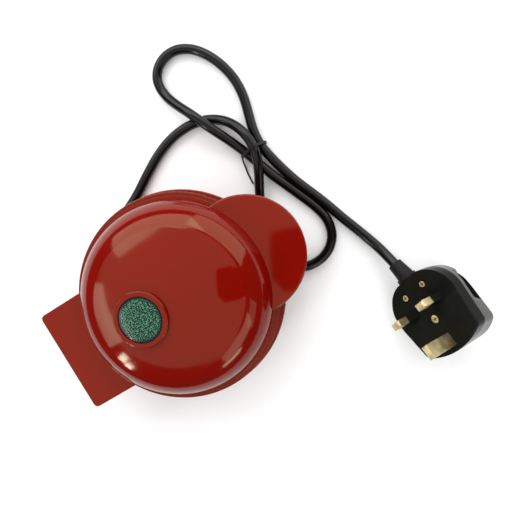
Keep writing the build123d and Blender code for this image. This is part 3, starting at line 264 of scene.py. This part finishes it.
def brass_with_painted_recess_shade():
    """Mottled, satin brass, with painted shade inside the screws' recesses."""
    material, tree, shader = new_material("brass")
    link = tree.links.new
    plain, spread = noise_between(tree, 220.0, 0.34, 0.5)
    link(spread, shader.inputs["Roughness"])
    metal = colour_ramp(tree, plain, [(0.0, (0.50, 0.40, 0.19)), (1.0, (0.84, 0.70, 0.40))])
    # Painted shade: a dark tone inside the screws' recesses, fading out towards each screw's top
    out_of_recess = map_range(tree, height_over_plug(tree),
                              [(SCREW_TOP - below) * MM for below in RECESS_SHADE])
    shade = mix_colour(tree, out_of_recess)
    shade.inputs[6].default_value = (0.10, 0.07, 0.03, 1)
    link(metal, shade.inputs[7])
    link(shade.outputs[2], shader.inputs["Base Color"])
    fine, _ = noise_between(tree, 1500.0, 0, 1, 2.0)
    add_bump(tree, shader, fine, 0.05, 0.0001)
    shader.inputs["Metallic"].default_value = 1.0
    return material


def painted_sparkle(tree, cells):
    """Painted green points of light, of uneven strength, in the middles of the cells."""
    dots = map_range(tree, cells.outputs["Distance"], (0.5, 0.22))
    split = add(tree, "ShaderNodeSeparateColor")
    tree.links.new(cells.outputs["Color"], split.inputs["Color"])
    lift = map_range(tree, split.outputs["Red"], (0.0, 1.0), (0.45, 1.0))
    both = add(tree, "ShaderNodeMath", operation="MULTIPLY")
    tree.links.new(dots, both.inputs[0])
    tree.links.new(lift, both.inputs[1])
    return colour_ramp(tree, both.outputs[0], [(0.0, (0.0005, 0.006, 0.003)),
                                               (0.4, (0.010, 0.085, 0.045)),
                                               (1.0, (0.12, 0.30, 0.17))])


def pebbled_lens():
    """Clear green moulding with a pebbled underside and painted sparkle in its cells, darker
    towards its edge.
    """
    material, tree, shader = new_material("green_lens")
    link = tree.links.new
    place = add(tree, "ShaderNodeTexCoord")
    cells = add(tree, "ShaderNodeTexVoronoi", voronoi_dimensions="2D", Scale=LENS_CELLS,
                Randomness=0.7)
    link(place.outputs["Object"], cells.inputs["Vector"])
    reach = add(tree, "ShaderNodeVectorMath", operation="DISTANCE")
    link(place.outputs["Object"], reach.inputs[0])
    reach.inputs[1].default_value = LENS_AT * MM
    edge = map_range(tree, reach.outputs["Value"], [r * MM for r in LENS_EDGE])
    shade = mix_colour(tree, edge)
    # Painted sparkle over the lens, giving way to plain dark green towards its edge
    link(painted_sparkle(tree, cells), shade.inputs[6])
    shade.inputs[7].default_value = (0.001, 0.007, 0.005, 1)
    link(shade.outputs[2], shader.inputs["Base Color"])
    add_bump(tree, shader, cells.outputs["Distance"], 0.2, 0.0003)
    shader.inputs["Roughness"].default_value = 0.14
    shader.inputs["Specular IOR Level"].default_value = 0.12
    shader.inputs["Coat Weight"].default_value = 0.3
    shader.inputs["Coat Roughness"].default_value = 0.06
    return material


MATERIALS = {
    "red_plastic": red_gloss(),
    "black_plastic": simple_material(
        "black_gloss", (0.007, 0.007, 0.006), (0.011, 0.011, 0.009), rough=(0.10, 0.18),
        gloss=0.045),
    "plate_coating": simple_material(
        "nonstick_coating", (0.012, 0.012, 0.013), (0.026, 0.026, 0.027), rough=(0.38, 0.5),
        scale=120.0, bump=0.25),
    "steel": simple_material(
        "bright_steel", (0.42, 0.42, 0.43), (0.6, 0.6, 0.6), rough=(0.25, 0.4), scale=60.0,
        bump=0.1, metallic=1.0),
    "brass": brass_with_painted_recess_shade(),
    "rubber": simple_material(
        "rubber", (0.002, 0.002, 0.002), (0.005, 0.005, 0.005), rough=(0.4, 0.55), scale=80.0,
        bump=0.2, gloss=0.16),
    "cord_sheath": simple_material(
        "cord_sheath", (0.0012, 0.0012, 0.0010), (0.0024, 0.0024, 0.0020), rough=(0.14, 0.22),
        scale=60.0, bump=0.08, gloss=0.26),
    "core_insulation": simple_material(
        "core_insulation", (0.16, 0.06, 0.02), (0.26, 0.12, 0.05), rough=(0.35, 0.5)),
    "tie_wire": simple_material(
        "tie_wire", (0.002, 0.002, 0.002), (0.004, 0.004, 0.004), rough=(0.25, 0.35), gloss=0.2),
    "green_lens": pebbled_lens(),
    "lamp_glass": simple_material(
        "lamp_glass", (0.7, 0.62, 0.5), (0.85, 0.8, 0.7), rough=(0.05, 0.1)),
    "fuse_ceramic": simple_material(
        "fuse_ceramic", (0.55, 0.52, 0.46), (0.7, 0.68, 0.62), rough=(0.4, 0.55)),
}


def dress(piece, slot):
    """Give a piece the material of its slot."""
    piece.data.materials.clear()
    piece.data.materials.append(MATERIALS[slot])


for part in frame["record"]["subparts"]:
    dress(nodes[part["node"]], part["material_slot"])


def cord():
    """The mains lead as one smooth line through its route."""
    data = bpy.data.curves.new("mains_lead", "CURVE")
    data.materials.append(MATERIALS["cord_sheath"])
    data.dimensions = "3D"
    data.bevel_depth = CORD_D / 2 * MM
    data.bevel_resolution = CORD_STEPS
    data.resolution_u = CORD_STEPS
    spline = data.splines.new("NURBS")
    spline.points.add(len(CORD_ROUTE) - 1)
    for point, place in zip(spline.points, CORD_ROUTE):
        point.co = (place[0] * MM, place[1] * MM, place[2] * MM, 1)
    spline.order_u = 3
    spline.use_endpoint_u = True
    return put("mains_lead", data)


def rounded_loop(mesh, turn, centre, half, corner, height):
    """A rounded rectangle of vertices round a pin, at a height above the plug's face."""
    loop = []
    for sx, sy, start in ((1, 1, 0), (-1, 1, 90), (-1, -1, 180), (1, -1, 270)):
        for step in range(CORNER_STEPS):
            angle = math.radians(start + 90 * step / (CORNER_STEPS - 1))
            local = Vector((centre + sx * (half[0] - corner) + corner * math.cos(angle),
                            sy * (half[1] - corner) + corner * math.sin(angle), height))
            loop.append(mesh.verts.new((PLUG_AT + turn @ local) * MM))
    return loop


def pin_sleeve(name, centre):
    """Thin insulating tube round the root of a live pin, with a rounded upper edge."""
    mesh = bmesh.new()
    turn = plug_turn()
    rings = []
    for grow, height in SLEEVE_PROFILE:
        half = [w / 2 + grow for w in PIN_SECTION]
        rings.append(rounded_loop(mesh, turn, centre, half, PIN_CORNER + grow, height))
    for a, b in zip(rings, rings[1:] + rings[:1]):
        for i in range(len(a)):
            j = (i + 1) % len(a)
            mesh.faces.new((a[i], a[j], b[j], b[i]))
    bmesh.ops.recalc_face_normals(mesh, faces=mesh.faces)
    data = bpy.data.meshes.new(name)
    mesh.to_mesh(data)
    mesh.free()
    data.materials.append(MATERIALS["black_plastic"])
    piece = put(name, data)
    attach(piece, "root")
    return piece


sleeves = [pin_sleeve("line_pin_sleeve", -PIN_X), pin_sleeve("neutral_pin_sleeve", PIN_X)]
lead = cord()
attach(lead, "root")
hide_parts("mains_cord")


def camera():
    """The photograph's camera."""
    data = bpy.data.cameras.new("camera")
    data.sensor_width = SENSOR_MM
    data.lens = FOCAL_PX / FRAME_PX * SENSOR_MM
    data.clip_start = CLIP_START
    piece = put("camera", data)
    turn = matrix_of((CAMERA_RIGHT, -CAMERA_DOWN, -CAMERA_FORWARD)).to_4x4()
    piece.matrix_world = Matrix.Translation(CAMERA_AT) @ turn
    bpy.context.scene.camera = piece


def floor():
    """Plain pale surface that everything rests on."""
    mesh = bpy.data.meshes.new("floor")
    corners = [(sx * FLOOR_HALF, sy * FLOOR_HALF, 0) for sx, sy in
               ((-1, -1), (1, -1), (1, 1), (-1, 1))]
    mesh.from_pydata(corners, [], [(0, 1, 2, 3)])
    material, tree, shader = new_material("floor")
    plain, spread = noise_between(tree, 4.0, 0.75, 0.85)
    two_tones(tree, shader, plain, (0.90, 0.90, 0.90), (0.915, 0.915, 0.915))
    tree.links.new(spread, shader.inputs["Roughness"])
    shader.inputs["Specular IOR Level"].default_value = 0.1
    mesh.materials.append(material)
    put("floor", mesh)


def dark_card():
    """Unlit card over the handle, seen only as a darker patch in glossy surfaces."""
    mesh = bpy.data.meshes.new("dark_card")
    mesh.from_pydata([(x * MM, y * MM, CARD_Z * MM) for x, y in CARD], [],
                     [tuple(range(len(CARD)))])
    mesh.materials.append(simple_material("dark_card", (0.006, 0.005, 0.004),
                                          (0.010, 0.008, 0.007), rough=(0.8, 0.9)))
    piece = put("dark_card", mesh)
    piece.visible_camera = False
    piece.visible_shadow = False
    piece.visible_diffuse = False


def softbox(name, heading, lift, size, radiance, shape):
    """A soft panel of light that faces the appliance from a heading and a height in degrees."""
    data = bpy.data.lights.new(name, "AREA")
    data.shape = shape
    data.size, data.size_y = size
    area = size[0] * size[1] * (math.pi / 4 if shape == "ELLIPSE" else 1)
    data.energy = radiance * math.pi * area
    turn, rise = math.radians(heading), math.radians(lift)
    way = Vector((math.cos(rise) * math.cos(turn), math.cos(rise) * math.sin(turn), math.sin(rise)))
    face = (-way).to_track_quat("-Z", "Y").to_matrix().to_4x4()
    piece = put(name, data)
    piece.matrix_world = Matrix.Translation(way * LIGHT_DISTANCE + LIGHT_CENTRE) @ face
    piece.visible_camera = False


def lights():
    """Pale surroundings, brighter to the camera than as light, and the soft panels."""
    world = bpy.data.worlds.new("studio")
    world.use_nodes = True
    tree = world.node_tree
    background = tree.nodes["Background"]
    background.inputs["Color"].default_value = (1.0, 0.98, 0.96, 1)
    path = add(tree, "ShaderNodeLightPath")
    strength = map_range(tree, path.outputs["Is Camera Ray"], (0.0, 1.0),
                         (FILL_STRENGTH, BACKDROP_STRENGTH))
    tree.links.new(strength, background.inputs["Strength"])
    bpy.context.scene.world = world
    for name, values in LIGHTS.items():
        softbox(name, *values)


bpy.context.scene.view_settings.view_transform = "Standard"
camera()
floor()
dark_card()
lights()
